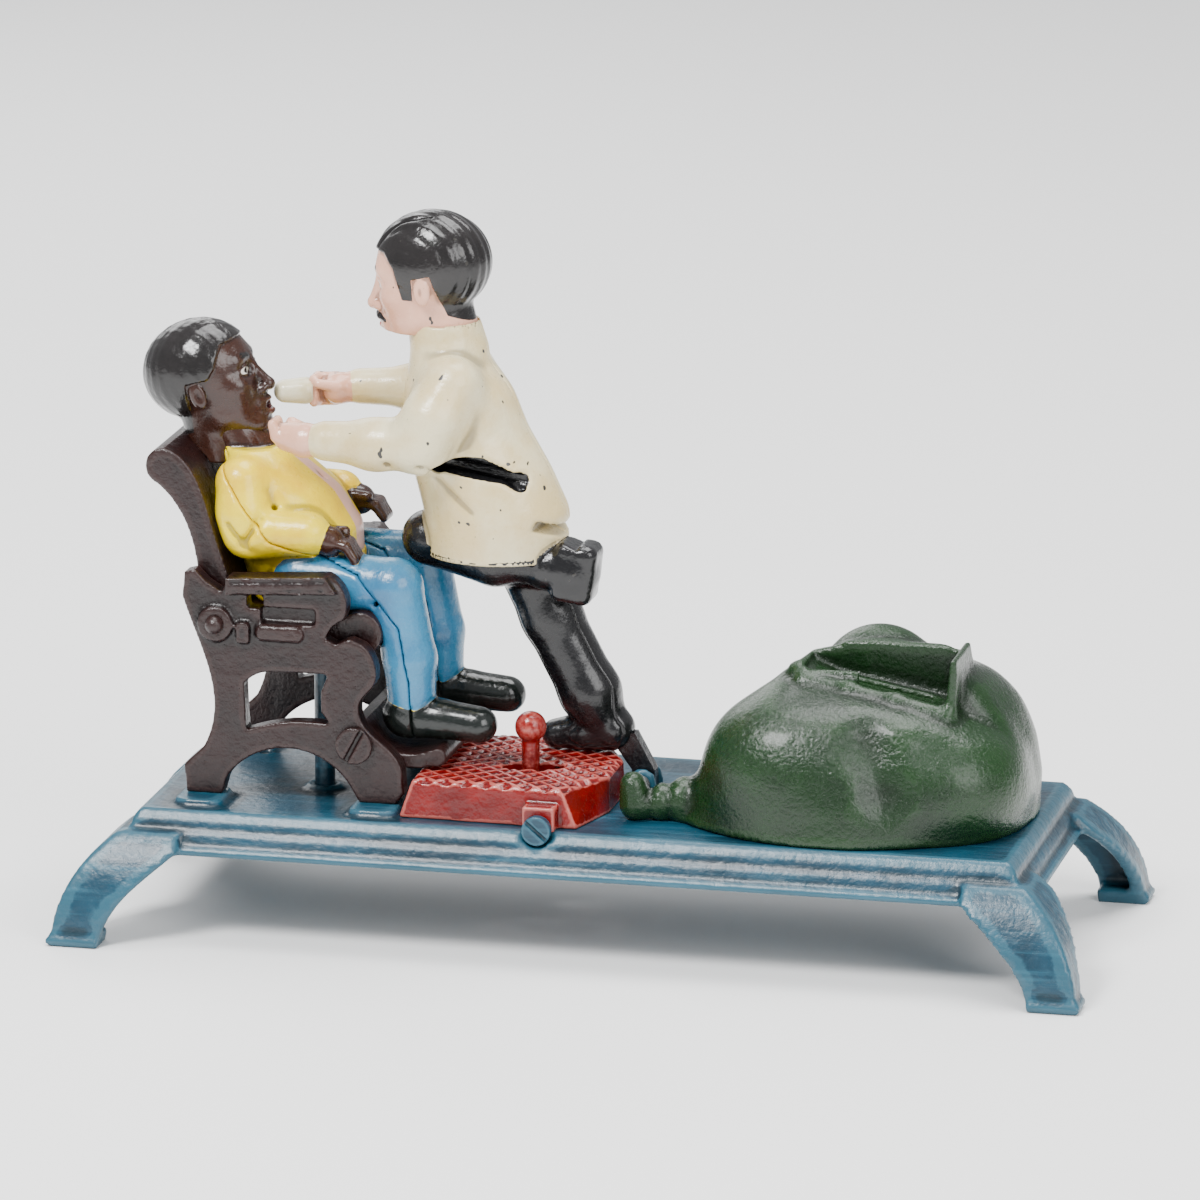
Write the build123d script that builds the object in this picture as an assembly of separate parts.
from build123d import *

import math
import os

# Mechanical coin bank: a dentist stands on a treadle platform beside a patient in a tilting chair.
# Pressing the lever lets the dentist fall back on the gas bag while the chair tips the patient back.
# Frame: millimetres, +Z up, +X towards the gas bag, -Y towards the side with the lever screw.
# Origin: under the middle of the base, on the surface that the four feet stand on.

# Base casting
PLATE_LENGTH = 216.8
PLATE_WIDTH = 73.8
PLATE_TOP = 32.4
PLATE_BOTTOM = 29.4
SKIRT_BOTTOM = 22.2
SKIRT_FLARE = 6.2
LEG_WALL = 3.6
HALF_LENGTH = PLATE_LENGTH / 2
HALF_WIDTH = PLATE_WIDTH / 2

# Running fits and gaps
RUNNING_FIT = 0.06
GAP = 0.4

# Angle that the dentist falls through, in degrees
FALL_ANGLE = 56.0

# Axes of the joints, as (X, Z) in the side view
DENTIST_PIVOT = (9.0, 35.5)
CHAIR_PIVOT = (-91.7, 77.6)
LEVER_PIVOT = (-8.3, 33.2)
PIN_RADIUS = 1.5
TAIL_PIN_RADIUS = 1.4
TIE_ROD = (-56.7, 48.8)
TIE_ROD_RADIUS = 2.4

# Screws and rivets, as (X, Y) seen from above
SCREW_RADIUS = 1.5
BAG_SCREWS = [(40.0, -10.0), (98.0, 2.0)]
PLATFORM_SCREWS = [(-34.0, -20.0), (-28.0, 7.0)]
FOOT_SCREW_Y = 24.7
FOOT_SCREW_RADIUS = 1.4
SEAT_SCREW_X = -80.0
RIVET_RADIUS = 1.2
GUIDE_X = (-40.0, -16.0)
GUIDE_RIVET_Y = (3.4, 15.6)
GUIDE_RIVETS = [(x, y) for x in GUIDE_X for y in GUIDE_RIVET_Y]
SPRING_POST = (-92.0, 18.6)
SPRING_HOOK_X = -54.5

# Chair
FRAME_INNER_Y = 22.2
FRAME_OUTER_Y = 27.2
CHAIR_HALF_WIDTH = 21.2
SEAT_UNDERSIDE = 70.0
SEAT_TOP = 79.2
FOOT_X = (-95.2, -51.2)

# Push rod and trip bar
ROD_X = -69.1
ROD_Y = -9.2
ROD_RADIUS = 2.5
ROD_BOTTOM = 18.2
TRIP_TRAVEL = 16.0 * math.sin(math.radians(FALL_ANGLE))
ROD_TRAVEL = 7.8
TRIP_BAR_Y = (8.0, 11.0)
TAIL_Y = (3.0, 7.0)
TAIL_PIN_DROP = 16.0

# Gas bag and coin trap
BAG_WALL = 2.6
BAG_RIM = [
    (21.6, -17.0), (33.0, -28.6), (50.0, -35.4), (70.0, -36.0), (90.0, -27.6), (103.4, -12.0),
    (107.6, 5.0), (103.6, 21.0), (92.0, 31.0), (74.0, 34.2), (54.0, 31.4), (37.0, 20.0), (25.6, 1.0),
]
BAG_MIDDLE = (66.0, -1.0)
# Level sections of the bag as (Z, X shift, X scale, Y scale) of its rim
BAG_LEVELS = [
    (PLATE_TOP, 0.0, 1.0, 1.0), (42.0, 2.4, 0.95, 0.97), (51.0, 4.2, 0.85, 0.90),
    (60.0, 5.0, 0.73, 0.77), (67.0, 5.2, 0.61, 0.61), (72.0, 5.2, 0.48, 0.43), (75.0, 5.0, 0.33, 0.25),
]
TRAP_HOLE = (66.0, 0.0)
TRAP_HOLE_RADIUS = 13.5
TRAP_SCREW = (84.0, 0.0)
COIN_SLOT_LENGTH = 24.5
COIN_SLOT_HEIGHT = 2.6

# Parting line of the patient's two castings, as (X, Z) from the crown to the shoe soles
PATIENT_SEAM = [
    (-104.0, 160.0), (-100.5, 125.0), (-91.0, 112.0), (-80.0, 97.0),
    (-58.0, 89.5), (-47.4, 77.0), (-45.0, 63.5), (-43.8, 40.0),
]
DENTIST_SEAM_Y = 1.0

NODES = {}


def box(x0, x1, y0, y1, z0, z1):
    """Box between two corners."""
    return Pos((x0 + x1) / 2, (y0 + y1) / 2, (z0 + z1) / 2) * Box(x1 - x0, y1 - y0, z1 - z0)


def across(face, y0, y1):
    """Extrude a side-view face, drawn as (X, Z), from y0 to y1."""
    return Pos(0, y1, 0) * extrude(Plane.XZ * face, amount=y1 - y0)


def along(face, x0, x1):
    """Extrude an end-view face, drawn as (Y, Z), from x0 to x1."""
    return Pos(x0, 0, 0) * extrude(Plane.YZ * face, amount=x1 - x0)


def outline(*edges):
    """Face inside a closed run of edges."""
    return make_face(Curve() + list(edges))


def polygon(points):
    """Face inside a closed run of straight lines."""
    return make_face(Polyline(*points, close=True))


def rod_y(x, z, radius, y0, y1):
    """Round bar along Y."""
    return Pos(x, (y0 + y1) / 2, z) * Rot(90, 0, 0) * Cylinder(radius, y1 - y0)


def rod_z(x, y, radius, z0, z1):
    """Round bar along Z."""
    return Pos(x, y, (z0 + z1) / 2) * Cylinder(radius, z1 - z0)


def limb(start, end, start_radius, end_radius):
    """Tapered round limb with rounded ends, turned about its own axis."""
    direction = Vector(*end) - Vector(*start)
    length = direction.length
    k = math.sqrt(0.5)
    lower = ThreePointArc((0, -start_radius), (start_radius * k, -start_radius * k), (start_radius, 0))
    side = Line((start_radius, 0), (end_radius, length))
    upper = ThreePointArc(
        (end_radius, length), (end_radius * k, length + end_radius * k), (0, length + end_radius)
    )
    spine = Line((0, length + end_radius), (0, -start_radius))
    turned = revolve(Plane.XZ * outline(lower, side, upper, spine), Axis.Z)
    return Plane(origin=start, z_dir=direction) * turned


def stacked(sections):
    """Body lofted through level ellipses given as (z, x, y, x radius, y radius)."""
    faces = [Pos(x, y, z) * Ellipse(rx, ry) for z, x, y, rx, ry in sections]
    return loft(faces)


def joined(pieces):
    """Union of a list of solids."""
    whole = pieces[0]
    for piece in pieces[1:]:
        whole = whole + piece
    return whole


def mirrored(shape):
    """Copy on the other side of the bank's middle plane."""
    return mirror(shape, about=Plane.XZ)


def screw_from_below(x, y, head_radius, shank_radius, head_z, tip_z):
    """Cheese-head screw driven upwards, with a straight slot in its head."""
    head_height = 1.8
    head = rod_z(x, y, head_radius, head_z - head_height, head_z)
    shank = rod_z(x, y, shank_radius, head_z, tip_z)
    slot = box(x - head_radius, x + head_radius, y - 0.4, y + 0.4, head_z - head_height, head_z - 1.0)
    return head + shank - slot


def coil(radius, wire, length, turns):
    """Close coil spring along Z from 0 to its length."""
    path = Helix(pitch=length / turns, height=length, radius=radius)
    section = Plane(origin=path @ 0, z_dir=path % 0) * Circle(wire / 2)
    return sweep(section, path=path, is_frenet=True)


# ---------------------------------------------------------------- base casting

def moulding_points(half):
    """Section of the base rim as (offset from the middle, Z), closed across the middle."""
    steps = [
        (0.0, PLATE_TOP), (0.9, PLATE_TOP - 0.5), (0.9, 31.0), (0.5, 30.6), (1.9, 30.2), (2.3, 29.4),
        (2.1, 28.4), (1.9, 28.0), (3.3, 27.6), (3.9, 26.6), (4.6, 24.6), (4.5, 24.2),
        (SKIRT_FLARE, 23.8), (SKIRT_FLARE, SKIRT_BOTTOM),
    ]
    right = [(half + step, z) for step, z in steps]
    left = [(-half - step, z) for step, z in reversed(steps)]
    return right + left


def leg_outline(edge, foot_out, foot_in):
    """One side of a leg, from the skirt at edge down to its toe between foot_in and foot_out."""
    outer = Spline((edge, 27.5), (edge + (foot_out - edge) * 0.62, 17.0), (foot_out - 1.2, 3.0))
    toe = Polyline((foot_out - 1.2, 3.0), (foot_out, 1.4), (foot_out - 0.6, 0.0), (foot_in, 0.0))
    inner = Spline((foot_in, 0.0), (foot_in - 3.4, 8.8), (foot_in - 11.0, 17.0), (foot_in - 18.0, 23.0))
    top = Polyline((foot_in - 18.0, 23.0), (foot_in - 18.0, 27.5), (edge, 27.5))
    return outline(outer, toe, inner, top)


def make_leg():
    """Angle-shaped leg at the +X, +Y corner: two webs that meet in a ridge down the outside."""
    side = across(leg_outline(HALF_LENGTH + 4.6, 129.0, 116.0), -10, 60)
    end = along(leg_outline(HALF_WIDTH + 4.6, 53.6, 44.0), 80, 135)
    hollow = across(leg_outline(HALF_LENGTH + 4.6 - LEG_WALL, 129.0 - LEG_WALL, 112.0), -10, 60)
    hollow = hollow & along(leg_outline(HALF_WIDTH + 4.6 - LEG_WALL, 53.6 - LEG_WALL, 40.0), 80, 135)
    hollow = hollow & box(80, 140, -10, 60, 3.4, 40)
    return (side & end) - hollow


def make_base():
    """Plate with a moulded skirt, four legs, foot bosses, pivot ears and the openings it needs."""
    outer = across(polygon(moulding_points(HALF_LENGTH)), -60, 60)
    outer = outer & along(polygon(moulding_points(HALF_WIDTH)), -140, 140)
    floor = SKIRT_BOTTOM - 1
    inner_x = [(-HALF_LENGTH - 3.2, floor), (HALF_LENGTH + 3.2, floor),
               (HALF_LENGTH - 0.6, PLATE_BOTTOM), (-HALF_LENGTH + 0.6, PLATE_BOTTOM)]
    inner_y = [(-HALF_WIDTH - 3.2, floor), (HALF_WIDTH + 3.2, floor),
               (HALF_WIDTH - 0.6, PLATE_BOTTOM), (-HALF_WIDTH + 0.6, PLATE_BOTTOM)]
    inner = across(polygon(inner_x), -60, 60) & along(polygon(inner_y), -140, 140)
    leg = make_leg()
    whole = outer - inner
    for turned in (leg, mirrored(leg), mirror(leg, about=Plane.YZ), mirrored(mirror(leg, about=Plane.YZ))):
        whole = whole + turned
    whole = whole - (inner & box(-100, 100, -30, 30, 0, 40))

    for x in FOOT_X:
        for side in (-1, 1):
            pad = Pos(x, side * 27.0, PLATE_TOP) * extrude(RectangleRounded(11.8, 14.5, 3.0), amount=1.8)
            whole = whole + pad
            whole = whole - rod_z(x, side * FOOT_SCREW_Y, FOOT_SCREW_RADIUS, PLATE_BOTTOM - 1, PLATE_TOP + 3)

    ear_x, ear_z = DENTIST_PIVOT
    for y0, y1 in ((TAIL_Y[0] - GAP - 2.4, TAIL_Y[0] - GAP), (TAIL_Y[1] + GAP, TAIL_Y[1] + GAP + 2.4)):
        ear = rod_y(ear_x, ear_z, 3.6, y0, y1) + box(ear_x - 3.6, ear_x + 3.6, y0, y1, PLATE_TOP - 1, ear_z)
        whole = whole + ear
    whole = whole - rod_y(ear_x, ear_z, PIN_RADIUS, -5, 15)

    whole = whole - box(-10.5, 13.0, TAIL_Y[0] - GAP, TAIL_Y[1] + GAP, PLATE_BOTTOM - 1, PLATE_TOP + 1)
    whole = whole - box(-27.0, 2.5, -22.0, -4.0, PLATE_BOTTOM - 1, PLATE_TOP + 1)
    whole = whole - box(LEVER_PIVOT[0] - 1.9, LEVER_PIVOT[0] + 1.9, -60, -10, 31.2, PLATE_TOP + 1)
    whole = whole - rod_y(*LEVER_PIVOT, 4.3, -60, -HALF_WIDTH + 0.8)
    whole = whole - rod_z(ROD_X, ROD_Y, ROD_RADIUS + RUNNING_FIT, PLATE_BOTTOM - 1, PLATE_TOP + 1)
    guide = rod_z(ROD_X, ROD_Y, 4.6, PLATE_TOP - 0.5, PLATE_TOP + 1.4)
    whole = whole + (guide - rod_z(ROD_X, ROD_Y, ROD_RADIUS + RUNNING_FIT, PLATE_TOP - 1, PLATE_TOP + 2))
    whole = whole - rod_z(*TRAP_HOLE, TRAP_HOLE_RADIUS, PLATE_BOTTOM - 1, PLATE_TOP + 1)
    whole = whole - rod_z(*TRAP_SCREW, SCREW_RADIUS, PLATE_BOTTOM - 1, PLATE_TOP + 1)
    for x, y in BAG_SCREWS + PLATFORM_SCREWS:
        whole = whole - rod_z(x, y, SCREW_RADIUS, PLATE_BOTTOM - 1, PLATE_TOP + 1)
    for x, y in GUIDE_RIVETS + [SPRING_POST]:
        whole = whole - rod_z(x, y, RIVET_RADIUS, PLATE_BOTTOM - 1, PLATE_TOP + 1)
    return whole


# ---------------------------------------------------------------- foot platform and lever

def make_platform():
    """Hollow foot platform with a slot for the lever and a fluted front."""
    rim = [(-41.6, -30.6), (-3.5, -31.8), (4.6, -15.0), (4.6, 0.0), (-1.0, 12.0), (-12.0, 15.2),
           (-31.0, 15.2), (-39.0, 8.0), (-42.0, -4.0)]
    foot = [(-44.6, -31.6), (0.4, -32.8), (4.9, -16.0), (4.9, 1.0), (-0.6, 13.0), (-12.0, 16.2),
            (-32.0, 16.2), (-41.0, 8.6), (-45.6, -6.0)]
    low = Pos(0, 0, PLATE_TOP) * polygon(foot)
    high = Pos(0, 0, 41.4) * polygon(rim)
    block = loft([low, high], ruled=True)
    crown = loft([high, Pos(-1.2, -0.6, 42.2) * scale(polygon(rim), by=(0.955, 0.95, 1))], ruled=True)
    wall = 2.8
    room = offset(polygon(rim), amount=-wall, kind=Kind.INTERSECTION)
    whole = block + crown - extrude(Pos(0, 0, PLATE_TOP - 1) * room, amount=7.2)
    for z in (35.0, 38.6):
        whole = whole - (Pos(-26.0, -33.8, z) * Rot(0, 90, 0) * Cylinder(1.5, 34.0))
    for x, y in PLATFORM_SCREWS:
        boss = rod_z(x, y, 3.6, PLATE_TOP, 40.2)
        whole = whole + boss - rod_z(x, y, SCREW_RADIUS, PLATE_TOP - 1, 38.5)
    slot = Pos(-15.2, -12.0, 38.0) * Rot(0, 0, 12) * extrude(SlotOverall(15.5, 6.6), amount=8)
    lug = box(LEVER_PIVOT[0] - 4.0, LEVER_PIVOT[0] + 4.0, -36.6, -30.0, PLATE_TOP, 38.4)
    whole = whole + lug - slot
    whole = whole - rod_y(*LEVER_PIVOT, PIN_RADIUS + 0.05, -40, -20)
    whole = whole - box(-6.0, 8.0, TAIL_Y[0] - 1.2, TRIP_BAR_Y[1] + 1.2, PLATE_TOP - 1, 38.4)
    return whole


def make_lever_screw():
    """Long pivot screw that enters from the front edge, with a slotted round head."""
    x, z = LEVER_PIVOT
    head = rod_y(x, z, 3.6, -39.4, -36.9)
    shank = rod_y(x, z, PIN_RADIUS, -36.9, -6.0)
    slot = Pos(x, -39.4, z) * Rot(0, 40, 0) * Box(8, 1.6, 1.0)
    return head + shank - slot


def make_lever():
    """Release lever: ball knob, round stem, hub on the pivot screw and a catch arm under the plate."""
    x, z = LEVER_PIVOT
    y0, y1 = -14.4, -9.6
    knob_x, knob_z = -16.0, 52.0
    knob = Pos(knob_x, -12.0, knob_z) * Sphere(3.9)
    stem = rod_z(knob_x, -12.0, 2.2, 36.0, knob_z)
    arm = across(polygon([(-18.2, 38.6), (-13.8, 38.6), (-5.6, 35.4), (-6.6, 30.4), (-18.2, 34.4)]), y0, y1)
    hub = rod_y(x, z, 3.7, y0, y1)
    catch = across(polygon([(-10.6, 32.0), (-5.9, 32.0), (-1.0, 26.4), (1.6, 22.4), (-1.2, 21.0),
                            (-5.4, 24.6)]), y0, y1)
    nose = box(-1.6, 2.0, y1 - 0.5, TAIL_Y[0] - GAP, 20.8, 23.6)
    whole = knob + stem + arm + hub + catch + nose
    return whole - rod_y(x, z, PIN_RADIUS + RUNNING_FIT, -30, 10)


# ---------------------------------------------------------------- chair

def frame_face():
    """Side view of one chair frame: horn, arm, panel, arched stretcher and two feet."""
    rear = Spline((-100.2, 84.0), (-96.0, 72.6), (-92.6, 60.2), (-95.2, 46.0))
    heel = Polyline((-95.2, 46.0), (-100.2, 41.2), (-99.6, 34.3), (-90.6, 34.3), (-89.4, 38.6))
    arch = ThreePointArc((-89.4, 38.6), (-73.5, 46.8), (-58.2, 38.4))
    toe = Polyline((-58.2, 38.4), (-55.8, 34.3), (-46.6, 34.3), (-44.4, 37.0), (-44.8, 40.4))
    shin = Spline((-44.8, 40.4), (-49.4, 48.9), (-55.2, 54.9), (-55.6, 59.4), (-51.8, 64.4), (-51.6, 69.0),
                  (-54.6, 74.0))
    scroll = Polyline((-54.6, 74.0), (-58.0, 75.4), (-61.6, 73.8), (-64.2, 75.2), (-62.6, 78.2),
                      (-59.4, 80.4))
    arm_end = ThreePointArc((-59.4, 80.4), (-58.9, 85.8), (-63.6, 91.2))
    top = Polyline((-63.6, 91.2), (-88.6, 89.6), (-90.2, 85.4), (-94.4, 88.0), (-97.0, 90.8),
                   (-99.6, 90.2), (-100.2, 84.0))
    return outline(rear, heel, arch, toe, shin, scroll, arm_end, top)


def frame_window():
    """Opening between the seat rail and the arched stretcher."""
    top = Spline((-84.9, 62.6), (-81.0, 65.4), (-77.0, 66.0))
    rail = Polyline((-77.0, 66.0), (-63.4, 66.2), (-65.3, 61.6), (-65.3, 56.4), (-62.6, 53.4))
    floor = Spline((-62.6, 53.4), (-73.0, 53.6), (-84.4, 50.8))
    jamb = Line((-84.4, 50.8), (-84.9, 62.6))
    return outline(top, rail, floor, jamb)


def make_chair_side(side):
    """Cast side frame with a ribbed arm; side is -1 for the near one and +1 for the far one."""
    inner, outer = FRAME_INNER_Y, FRAME_OUTER_Y
    body = across(frame_face(), inner, outer) - across(frame_window(), inner - 1, outer + 1)
    body = body - across(Pos(-81.8, 83.6) * RectangleRounded(4.2, 3.4, 0.8), inner - 1, outer + 1)
    recess = Pos(-73.5, 80.4) * RectangleRounded(14.0, 4.2, 1.0)
    body = body - across(recess, outer - 2.0, outer + 1)
    arm_rail = polygon([(-88.6, 85.4), (-88.6, 89.6), (-63.6, 91.2), (-60.6, 87.0)])
    body = body + across(arm_rail, outer, outer + 2.4)
    for drop in (0.9, 3.6):
        body = body - (Pos(-75.5, outer + 2.4, 90.4 - drop) * Rot(0, 90 - 3.6, 0) * Cylinder(0.55, 24.0))
    body = body + rod_y(*CHAIR_PIVOT, 4.4, outer, outer + 1.6)
    body = body + across(Pos(-84.6, 75.8) * RectangleRounded(3.2, 5.4, 0.9), outer, outer + 1.8)
    body = body + across(Pos(-75.4, 76.0) * SlotOverall(12.0, 3.6), outer, outer + 1.2)
    body = body - rod_y(*CHAIR_PIVOT, PIN_RADIUS, 10, 40)
    body = body - rod_y(*TIE_ROD, TIE_ROD_RADIUS, 10, 40)
    for x in FOOT_X:
        body = body - rod_z(x, FOOT_SCREW_Y, FOOT_SCREW_RADIUS, 30, 40)
    if side < 0:
        body = mirrored(body)
    return body


def make_tie_rod():
    """Front tie rod with a broad slotted head on the near frame and a plain nut on the far one."""
    x, z = TIE_ROD
    rod = rod_y(x, z, TIE_ROD_RADIUS, -FRAME_OUTER_Y, FRAME_OUTER_Y)
    head = rod_y(x, z, 4.6, -FRAME_OUTER_Y - 1.9, -FRAME_OUTER_Y)
    nut = across(Pos(x, z) * RegularPolygon(4.6, 6), FRAME_OUTER_Y, FRAME_OUTER_Y + 3.0)
    slot = Pos(x, -FRAME_OUTER_Y - 1.9, z) * Rot(0, 118, 0) * Box(10, 1.8, 1.2)
    return rod + head + nut - slot


def make_footrest():
    """Footrest between the frames, clasped on the tie rod and turned up at its free edge."""
    section = outline(
        Spline((-61.0, 51.0), (-54.0, 44.6), (-45.0, 42.2), (-38.0, 43.2)),
        ThreePointArc((-38.0, 43.2), (-34.9, 45.6), (-37.4, 47.7)),
        Spline((-37.4, 47.7), (-41.0, 46.4), (-47.6, 46.3), (-52.4, 49.4)),
        Polyline((-52.4, 49.4), (-55.6, 53.6), (-61.0, 51.0)),
    )
    return across(section, -FRAME_INNER_Y, FRAME_INNER_Y) - rod_y(*TIE_ROD, TIE_ROD_RADIUS, -40, 40)


def make_chair_pivot_pin():
    """Hinge pin of the tilting seat, riveted over on both frames."""
    x, z = CHAIR_PIVOT
    end = FRAME_OUTER_Y + 1.6
    pin = rod_y(x, z, PIN_RADIUS, -end, end)
    for side in (-1, 1):
        pin = pin + (Pos(x, side * end, z) * Sphere(2.4) & box(x - 3, x + 3, min(side * end, side * 40),
                                                             max(side * end, side * 40), z - 3, z + 3))
    return pin


def back_face():
    """Side view of the chair back with its scrolled top."""
    outer = Spline((-97.6, 84.0), (-98.4, 92.7), (-103.0, 105.0), (-108.2, 110.6))
    scroll = ThreePointArc((-108.2, 110.6), (-110.6, 116.6), (-106.2, 119.4))
    inner = Spline((-106.2, 119.4), (-99.4, 114.1), (-96.1, 106.7), (-92.6, 95.0), (-90.4, 88.1),
                   (-89.6, 84.0))
    foot = Line((-89.6, 84.0), (-97.6, 84.0))
    return outline(outer, scroll, inner, foot)


def seat_face():
    """Side view of the seat: hinge knuckle block, flat board and rolled front edge."""
    top = Polyline((-89.6, 84.0), (-88.6, SEAT_TOP), (-60.6, SEAT_TOP))
    roll = ThreePointArc((-60.6, SEAT_TOP), (-51.4, 75.6), (-58.0, SEAT_UNDERSIDE))
    under = Polyline((-58.0, SEAT_UNDERSIDE), (-90.0, SEAT_UNDERSIDE), (-96.4, 74.4), (-97.6, 84.0),
                     (-89.6, 84.0))
    return outline(top, roll, under)


def make_chair_back():
    """Chair back board with a sunk panel behind."""
    board = across(back_face(), -CHAIR_HALF_WIDTH, CHAIR_HALF_WIDTH)
    panel = across(Pos(-104.6, 97.0) * Rot(0, 0, 18) * Rectangle(5.0, 20.0), -15, 15)
    return board - panel


def make_seat_screw():
    """Screw that holds the seated figure down on the seat."""
    return screw_from_below(SEAT_SCREW_X, 0, 2.4, 1.2, SEAT_TOP - 2.6, 86.0)


def make_chair_seat():
    """Seat casting that turns on the hinge pin."""
    block = across(seat_face(), -CHAIR_HALF_WIDTH, CHAIR_HALF_WIDTH)
    relief = box(-86.0, -75.0, -16, 16, SEAT_UNDERSIDE - 1, SEAT_TOP - 2.6)
    block = block - relief - rod_y(*CHAIR_PIVOT, PIN_RADIUS + RUNNING_FIT, -40, 40)
    return block - make_seat_screw()


# ---------------------------------------------------------------- patient

def patient_leg(side):
    """Thigh, shin and shoe of one leg; side is -1 for the near one."""
    y = 14.0 * side
    thigh = limb((-74.0, y * 0.82, 86.6), (-49.6, y, 86.0), 7.4, 6.9)
    shin = limb((-49.0, y, 85.6), (-45.8, y, 66.0), 6.7, 6.5)
    cuff = limb((-45.8, y, 68.0), (-45.4, y, 59.0), 6.0, 5.2)
    shoe = limb((-45.6, y, 53.3), (-27.4, y * 1.06, 53.9), 5.7, 4.4)
    heel = limb((-47.2, y, 54.0), (-46.2, y, 53.6), 6.2, 5.4)
    keep = box(-70, 0, y - 12, y + 12, 47.9, 110)
    return joined([thigh, shin, cuff, shoe, heel]) & keep.fuse(box(-100, -60, y - 12, y + 12, 70, 110))


def patient_arm(side):
    """Upper arm, forearm and hand resting on the lap; side is -1 for the near one."""
    lift = 0.0 if side < 0 else 3.4
    y = 15.4 * side
    upper = limb((-88.6, y * 0.88, 110.2), (-87.0, y, 98.2 + lift), 6.3, 5.6)
    fore = limb((-86.6, y, 98.0 + lift), (-71.4, y, 98.0 + lift), 5.5, 5.0)
    hand = limb((-71.8, y, 98.0 + lift), (-60.4, y * 0.9, 94.6 + lift), 3.7, 3.2)
    return joined([upper, fore, hand])


def make_patient():
    """Seated figure with the head tilted back, as one shape before it is parted."""
    torso = stacked([
        (SEAT_TOP, -76.0, 0, 12.5, 15.5), (88.0, -76.4, 0, 15.0, 16.0), (98.0, -78.0, 0, 16.4, 15.5),
        (107.0, -81.6, 0, 13.8, 15.8), (113.5, -86.0, 0, 9.2, 15.0), (118.5, -90.0, 0, 6.4, 8.0),
        (125.0, -94.5, 0, 6.4, 6.6),
    ])
    skull = limb((-103.0, 0, 131.2), (-99.4, 0, 132.4), 13.2, 13.1)
    jaw = limb((-97.6, 0, 128.6), (-93.6, 0, 125.4), 9.6, 7.3)
    limbs = [patient_leg(-1), patient_leg(1), patient_arm(-1), patient_arm(1)]
    return joined([torso, skull, jaw] + limbs)


def seam_prism(points, far_x, y_reach):
    """Solid on one side of the patient's parting line, out to far_x."""
    first, last = points[0], points[-1]
    ring = points + [(far_x, last[1]), (far_x, first[1])]
    return across(polygon(ring), -y_reach, y_reach)


# ---------------------------------------------------------------- dentist

def make_coat():
    """Coat body as (outside, cavity): the cavity leads a coin from the pocket to the back."""
    rings = [
        (95.6, -27.0, 0, 17.6, 14.6), (104.0, -27.4, 0, 18.2, 15.6), (114.0, -31.0, 0, 17.4, 15.4),
        (124.0, -35.0, 0, 15.6, 14.6), (133.0, -36.8, 0, 13.4, 15.0), (140.0, -38.6, 0, 10.4, 13.8),
        (146.0, -40.4, 0, 7.4, 8.4), (152.0, -42.4, 0, 6.6, 6.8),
    ]
    wall = 2.8
    cavity = [(z, x, y, rx - wall, ry - wall) for z, x, y, rx, ry in rings[1:6]]
    return stacked(rings), stacked(cavity)


def make_dentist():
    """Standing figure that leans over the patient, as one shape before it is parted."""
    coat, cavity = make_coat()
    head = limb((-46.6, 0, 164.2), (-43.4, 0, 165.6), 12.2, 12.3)
    face = limb((-48.6, 0, 159.4), (-50.2, 0, 151.8), 9.8, 7.4)
    near_arm = [
        limb((-35.4, -12.4, 137.4), (-42.0, -16.6, 123.0), 7.2, 6.3),
        limb((-42.4, -16.5, 122.7), (-67.2, -14.4, 121.9), 6.1, 4.5),
        limb((-68.0, -14.2, 121.7), (-80.2, -12.2, 122.8), 4.2, 4.0),
    ]
    far_arm = [
        limb((-38.0, 11.2, 136.6), (-50.0, 11.6, 130.4), 6.2, 5.0),
        limb((-50.4, 11.5, 130.3), (-64.6, 9.4, 130.4), 4.6, 3.9),
        limb((-65.4, 9.2, 130.4), (-72.6, 6.6, 129.6), 4.0, 3.9),
    ]
    kneeling = [
        limb((-27.0, -2.6, 93.0), (-44.6, -0.6, 96.6), 7.6, 6.0),
        limb((-44.2, -0.6, 96.2), (-13.0, -4.2, 90.8), 6.1, 5.4),
        limb((-12.0, -4.4, 91.0), (-6.6, -4.6, 90.0), 6.3, 6.4),
    ]
    standing = [
        limb((-22.0, 4.6, 93.0), (-14.6, 5.0, 74.6), 8.2, 7.0),
        limb((-14.4, 5.0, 74.0), (-2.8, 5.0, 54.0), 6.6, 5.8),
        limb((-2.6, 5.0, 53.6), (0.6, 5.0, 49.6), 5.6, 5.4),
        limb((-12.4, 5.0, 46.9), (1.8, 5.0, 47.4), 4.4, 4.8),
    ]
    whole = joined([coat, head, face] + near_arm + far_arm + kneeling + standing)
    whole = whole & box(-100, 20, -30, 30, 42.3, 190)
    pocket = Pos(-29.0, -16.0, 115.8) * Rot(0, 10, 0) * Box(COIN_SLOT_LENGTH, 14.0, COIN_SLOT_HEIGHT)
    drop = Pos(-10.0, -1.0, 100.0) * Rot(0, 24, 0) * Box(12.0, 22.6, COIN_SLOT_HEIGHT)
    whole = whole - cavity - pocket - drop
    return whole - make_tail()


def make_tail():
    """Steel tail strap: fixed in the heel, turns on the pivot pin and drives the trip bar."""
    x, z = DENTIST_PIVOT
    pin_z = z - TAIL_PIN_DROP
    strap = polygon([(2.4, 47.6), (6.8, 47.6), (11.8, 38.4), (12.0, pin_z), (9.0, pin_z - 2.8),
                     (6.0, pin_z), (6.0, 38.4), (2.4, 43.4)])
    body = across(strap, *TAIL_Y)
    return body - rod_y(x, z, PIN_RADIUS + RUNNING_FIT, -5, 20) - rod_y(x, pin_z, TAIL_PIN_RADIUS, -5, 20)


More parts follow.
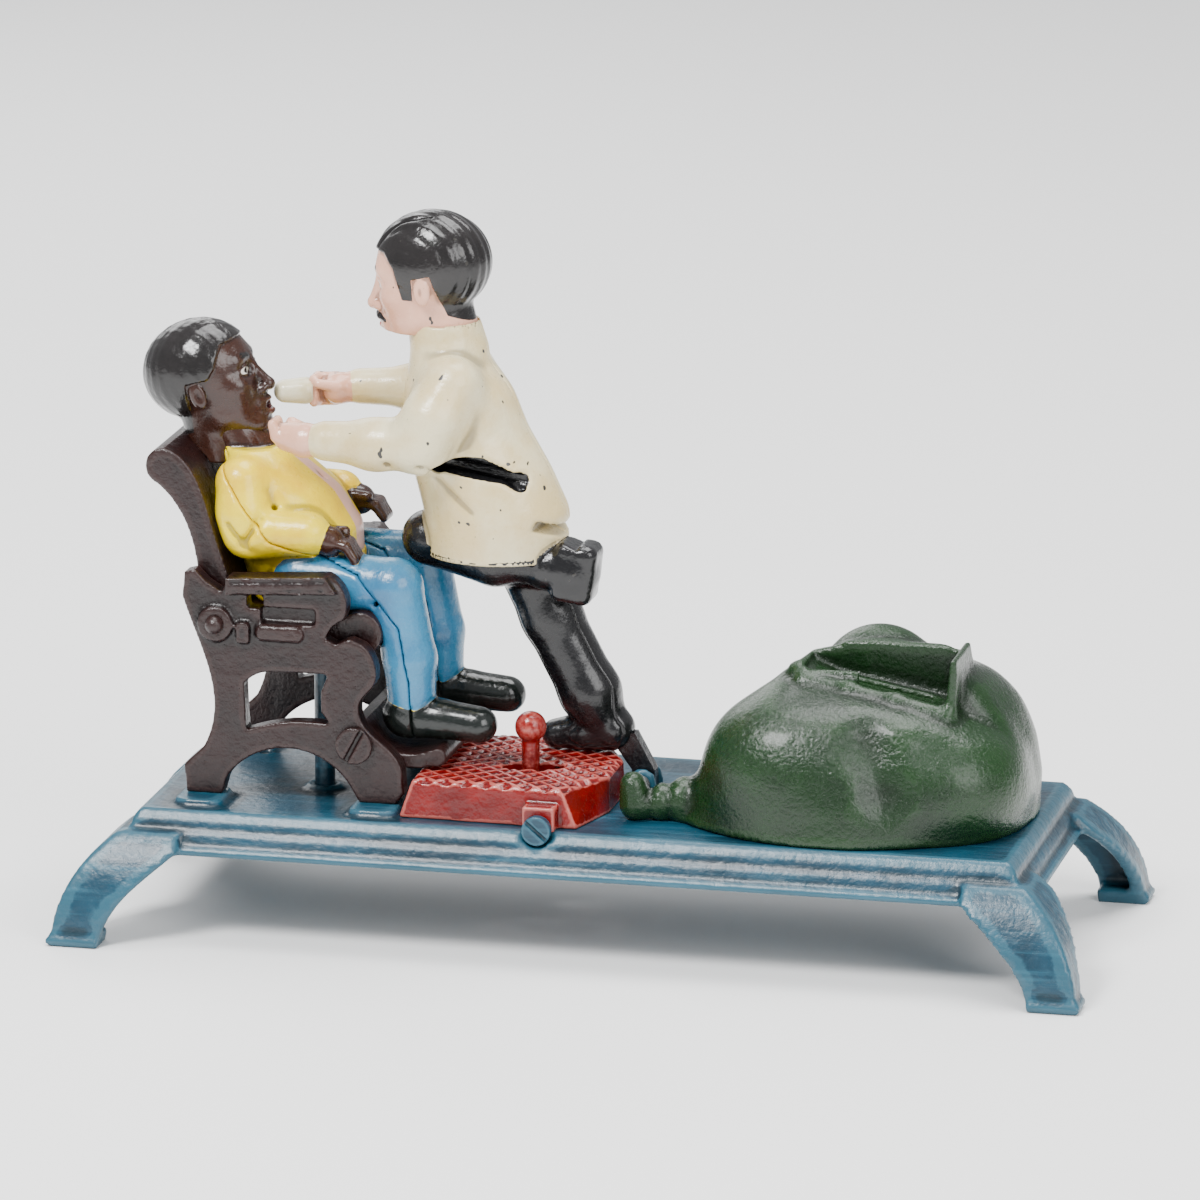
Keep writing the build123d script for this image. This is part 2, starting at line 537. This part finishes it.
def make_tooth():
    """Oversized tooth gripped by the far hand."""
    crown = limb((-82.0, 4.0, 129.4), (-77.4, 5.2, 129.5), 2.9, 3.4)
    palm = limb((-65.4, 9.2, 130.4), (-72.6, 6.6, 129.6), 4.0, 3.9)
    return crown - palm


# ---------------------------------------------------------------- gas bag

def bag_body(inset):
    """Lofted bag, with every section drawn in by the inset."""
    middle_x, middle_y = BAG_MIDDLE
    faces = []
    for z, shift, scale_x, scale_y in BAG_LEVELS:
        points = []
        for x, y in BAG_RIM:
            dx = (x - middle_x) * (scale_x - inset / 43.0)
            dy = (y - middle_y) * (scale_y - inset / 35.0)
            points.append((middle_x + shift + dx, middle_y + dy))
        lift = -0.8 * inset if z > PLATE_TOP else -1.0 * (inset > 0)
        faces.append(Pos(0, 0, z + lift) * make_face(Spline(*points, periodic=True)))
    return loft(faces)


def make_gas_bag():
    """Hollow bag, open below, with a sloping coin trough on top and its neck and knob in front."""
    outer = bag_body(0.0)
    neck = limb((32.0, -14.0, 38.0), (15.0, -19.0, 36.0), 5.6, 3.4)
    collar = limb((18.6, -18.0, 36.0), (17.6, -18.2, 36.0), 4.6, 4.6)
    knob = limb((12.2, -19.6, 36.4), (11.4, -19.9, 41.6), 4.2, 3.0)
    shell = joined([outer, neck, collar, knob]) & box(0, 120, -40, 40, PLATE_TOP, 90)
    shell = shell - bag_body(BAG_WALL)
    for x, y in BAG_SCREWS:
        boss = rod_z(x, y, 3.8, PLATE_TOP, 60) & outer
        shell = shell + boss - rod_z(x, y, SCREW_RADIUS, PLATE_TOP - 1, 40)
    trough = across(polygon([(50.0, 69.0), (87.4, 61.0), (87.4, 90.0), (50.0, 90.0)]), -10.0, 8.0)
    floor = across(polygon([(48.0, 66.4), (90.0, 57.6), (90.0, 61.0), (48.0, 69.2)]), -12.0, 10.0) & outer
    end_wall = across(polygon([(87.4, 60.0), (90.0, 60.0), (90.0, 76.6), (87.4, 76.6)]), -9.0, 9.0)
    shell = (shell - trough) + floor + end_wall
    slot = Pos(70.0, -1.0, 60.0) * Box(COIN_SLOT_LENGTH, 3.0, 30.0)
    return shell - slot


# ---------------------------------------------------------------- mechanism under the base

def make_trip_bar():
    """Sliding bar: a slotted fork takes the tail pin and a ramp at the other end lifts the rod."""
    y0, y1 = TRIP_BAR_Y
    bar = box(-56.0, 5.0, y0, y1, 16.4, 20.4)
    fork = box(3.0, 15.0, y0, y1, 14.6, 28.9)
    fork = fork - box(DENTIST_PIVOT[0] - 2.95, DENTIST_PIVOT[0] + 2.95, y0 - 1, y1 + 1, 17.6, 30.0)
    ramp_top = ROD_BOTTOM - 0.9
    rise = ROD_TRAVEL / TRIP_TRAVEL
    left, right = ROD_X - 4.0, ROD_X + TRIP_TRAVEL + 3.4
    high = ramp_top + rise * (right - ROD_X)
    wedge = polygon([(left, ramp_top - rise * 4.0), (right, high), (right, 14.2), (left, 14.2)])
    ramp = across(wedge, ROD_Y - 3.0, ROD_Y + 3.0)
    bridge = box(right - 4.0, right, ROD_Y + 2.0, y1, 14.6, 20.4)
    hook = box(SPRING_HOOK_X - 1.5, SPRING_HOOK_X + 1.5, y1 - 0.5, SPRING_POST[1] + 1.5, 16.6, 20.2)
    hook = hook - rod_z(SPRING_HOOK_X, SPRING_POST[1], 0.6, 10, 30)
    return bar + fork + ramp + bridge + hook


def make_push_rod():
    """Push rod with rounded ends that lifts the front of the seat."""
    low = (ROD_X, ROD_Y, ROD_BOTTOM + ROD_RADIUS)
    high = (ROD_X, ROD_Y, SEAT_UNDERSIDE - GAP - ROD_RADIUS)
    return limb(low, high, ROD_RADIUS, ROD_RADIUS)


def make_guide(x):
    """Riveted hanger under the plate that carries the trip bar in its trough."""
    y0, y1 = TRIP_BAR_Y
    thick, play = 1.6, 0.8
    inner0, inner1 = y0 - play, y1 + play
    shelf = 16.3
    section = polygon([
        (1.2, PLATE_BOTTOM), (1.2, PLATE_BOTTOM - thick), (inner0 - thick, PLATE_BOTTOM - thick),
        (inner0 - thick, shelf - thick), (inner1 + thick, shelf - thick),
        (inner1 + thick, PLATE_BOTTOM - thick), (17.8, PLATE_BOTTOM - thick), (17.8, PLATE_BOTTOM),
        (inner1, PLATE_BOTTOM), (inner1, shelf), (inner0, shelf), (inner0, PLATE_BOTTOM),
    ])
    hanger = along(section, x - 3.0, x + 3.0)
    for y in GUIDE_RIVET_Y:
        hanger = hanger + rod_z(x, y, RIVET_RADIUS, PLATE_BOTTOM - 0.5, PLATE_TOP - 0.4)
        hanger = hanger + rod_z(x, y, 2.0, PLATE_BOTTOM - thick - 0.9, PLATE_BOTTOM - thick)
    return hanger


def make_coin_trap():
    """Round cover of the coin hole, which swings aside on its screw."""
    disc = rod_z(*TRAP_HOLE, 16.0, 27.7, PLATE_BOTTOM - 0.3)
    arm = box(TRAP_HOLE[0], TRAP_SCREW[0], -5.0, 5.0, 27.7, PLATE_BOTTOM - 0.3)
    ear = rod_z(*TRAP_SCREW, 5.0, 27.7, PLATE_BOTTOM - 0.3)
    tab = Pos(TRAP_HOLE[0] - 12.0, 0, 26.6) * Box(2.0, 9.0, 2.4)
    return disc + arm + ear + tab - rod_z(*TRAP_SCREW, SCREW_RADIUS + RUNNING_FIT, 20, 40)


def make_main_spring():
    """Tension spring that pulls the trip bar towards its post."""
    start = SPRING_POST[0] + 3.0
    length = SPRING_HOOK_X - 2.4 - start
    return Pos(start, SPRING_POST[1], 18.4) * Rot(0, 90, 0) * coil(2.7, 0.9, length, 12)


def make_lever_spring():
    """Return spring, wound round the pivot screw beside the lever's hub."""
    x, z = LEVER_PIVOT
    return Pos(x, -15.0, z) * Rot(90, 0, 0) * coil(2.4, 0.6, 5.6, 5)


def add(name, shape):
    """Keep a finished node under its name."""
    NODES[name] = shape


def build():
    """Make every node."""
    add("base_casting", make_base())
    add("foot_platform", make_platform())
    add("lever_pivot_screw", make_lever_screw())
    add("release_lever", make_lever())
    add("lever_spring", make_lever_spring())
    add("gas_bag", make_gas_bag())
    add("gas_bag_screws", joined([
        screw_from_below(x, y, 3.0, SCREW_RADIUS, PLATE_BOTTOM, 38.5) for x, y in BAG_SCREWS
    ]))
    add("platform_screws", joined([
        screw_from_below(x, y, 3.0, SCREW_RADIUS, PLATE_BOTTOM, 38.0) for x, y in PLATFORM_SCREWS
    ]))
    add("chair_foot_screws", joined([
        screw_from_below(x, side * FOOT_SCREW_Y, 2.8, FOOT_SCREW_RADIUS, PLATE_BOTTOM, 39.6)
        for x in FOOT_X for side in (-1, 1)
    ]))
    add("chair_side_near", make_chair_side(-1))
    add("chair_side_far", make_chair_side(1))
    add("chair_tie_rod", make_tie_rod())
    add("footrest", make_footrest())
    add("chair_pivot_pin", make_chair_pivot_pin())
    add("chair_back", make_chair_back())
    add("chair_seat", make_chair_seat())

    patient = make_patient() - NODES["chair_back"] - NODES["chair_seat"] - make_seat_screw()
    behind = seam_prism(PATIENT_SEAM, -150.0, 40.0)
    add("patient_back_half", patient & behind)
    add("patient_front_half", patient - behind)
    add("seat_screw", make_seat_screw())

    dentist = make_dentist()
    near = box(-100, 20, -40, DENTIST_SEAM_Y, 40, 190)
    add("dentist_near_half", dentist & near)
    add("dentist_far_half", dentist - near)
    add("pulled_tooth", make_tooth())
    add("dentist_tail", make_tail())
    x, z = DENTIST_PIVOT
    add("dentist_pivot_pin", rod_y(x, z, PIN_RADIUS, -1.4, 11.4) + rod_y(x, z, 2.3, -1.4, 0.2))
    add("tail_pin", rod_y(x, z - TAIL_PIN_DROP, TAIL_PIN_RADIUS, TAIL_Y[0], TRIP_BAR_Y[1] + 1.0))
    add("trip_bar", make_trip_bar())
    add("push_rod", make_push_rod())
    add("trip_bar_guide_rear", make_guide(GUIDE_X[0]))
    add("trip_bar_guide_front", make_guide(GUIDE_X[1]))
    add("main_spring", make_main_spring())
    post_x, post_y = SPRING_POST
    post = rod_z(post_x, post_y, RIVET_RADIUS, 15.6, PLATE_TOP - 0.4)
    add("spring_post", post + rod_z(post_x, post_y, 2.2, 14.8, 15.8))
    add("coin_trap", make_coin_trap())
    add("trap_screw", screw_from_below(*TRAP_SCREW, 3.2, SCREW_RADIUS, 27.5, PLATE_TOP - 0.2))


build()
os.makedirs("parts", exist_ok=True)
for node_name, node_shape in NODES.items():
    export_step(node_shape, f"parts/{node_name}.step")
